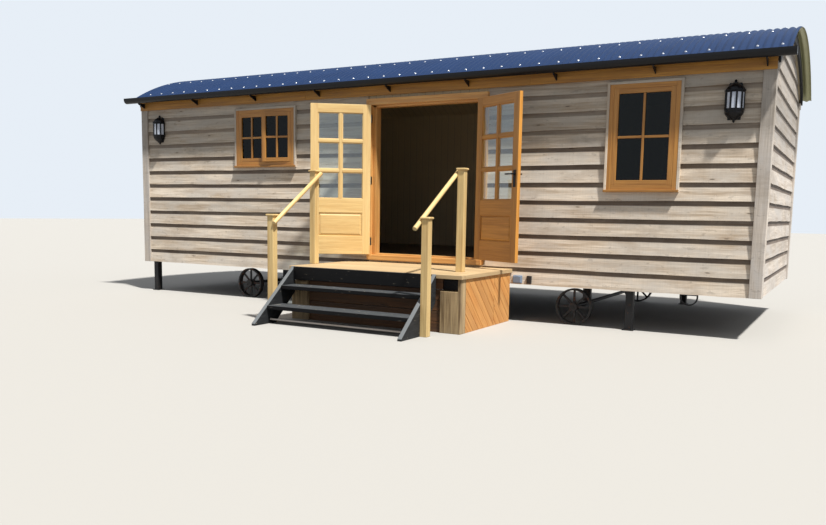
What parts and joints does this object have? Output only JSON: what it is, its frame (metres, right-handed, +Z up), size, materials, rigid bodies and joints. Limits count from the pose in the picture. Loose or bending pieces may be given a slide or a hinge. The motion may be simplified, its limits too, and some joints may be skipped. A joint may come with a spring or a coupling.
{
  "type": "shepherds hut",
  "caption": "Long shepherds hut with a barrel roof, weatherboarded walls, glazed double doors, landing, steps and running gear",
  "frame": {"origin": "on the ground, under the middle of the whole footprint of hut, eaves, landing and steps", "axes": "X along the hut, Y from the door side to the back, Z up"},
  "size_m": [9.14, 5.51, 3.3738],
  "materials": {
    "wall_lining": "painted tongue and groove lining",
    "weathered_oak": "weathered silver oak",
    "joinery_timber": "oiled warm timber",
    "pale_softwood": "planed pale softwood",
    "sleeper_timber": "rough sawn sleeper",
    "black_timber": "black painted timber",
    "floor_boards": "lacquered boards",
    "roof_sheet": "slate blue coated sheet",
    "black_metal": "black satin paint",
    "chassis_steel": "black chassis paint",
    "cast_iron": "black painted casting",
    "hinge_steel": "dark bronzed steel",
    "glass": "clear float glass",
    "grey_plastic": "grey weatherproof moulding"
  },
  "bodies": {
    "hut": {"chassis_rails": "chassis_steel", "chassis_cross_members": "chassis_steel", "axles": "chassis_steel", "axle_hangers": "chassis_steel", "wheels": "cast_iron", "steady_legs": "chassis_steel", "hanging_loop": "chassis_steel", "floor": "floor_boards", "front_wall_left": "wall_lining", "front_wall_right": "wall_lining", "front_wall_over_door": "wall_lining", "front_wall_under_door": "weathered_oak", "back_wall": "wall_lining", "end_walls": "wall_lining", "corner_posts": "weathered_oak", "fascias": "joinery_timber", "roof_deck": "wall_lining", "roof_sheet": "roof_sheet", "barge_boards": "black_timber", "gutter": "black_metal", "gutter_brackets": "black_metal", "door_frame": "joinery_timber", "door_sill": "joinery_timber", "door_hinge_pins": "hinge_steel", "window_frames": "joinery_timber", "window_casements": "joinery_timber", "window_glass": "glass", "wall_lanterns": "black_metal", "lantern_glass": "glass", "outside_socket": "grey_plastic", "landing_deck": "pale_softwood", "landing_posts": "sleeper_timber", "landing_sides": "pale_softwood", "step_stringers": "black_metal", "step_boards": "black_timber", "handrail_posts": "pale_softwood", "handrails": "pale_softwood"},
    "left_door": {"left_door_leaf": "joinery_timber", "left_door_glass": "glass", "left_door_hinges": "hinge_steel"},
    "right_door": {"right_door_leaf": "joinery_timber", "right_door_glass": "glass", "right_door_hinges": "hinge_steel", "right_door_handle": "black_metal"}
  },
  "joints": [
    {"name": "left_door_hinge", "type": "hinge", "parent": "hut", "child": "left_door", "pos_m": [-0.2635, -0.744, 1.649], "axis": [0, 0, 1], "range_deg": [-28, 145]},
    {"name": "right_door_hinge", "type": "hinge", "parent": "hut", "child": "right_door", "pos_m": [1.2535, -0.744, 1.649], "axis": [0, 0, 1], "range_deg": [-152, 21]}
  ]
}
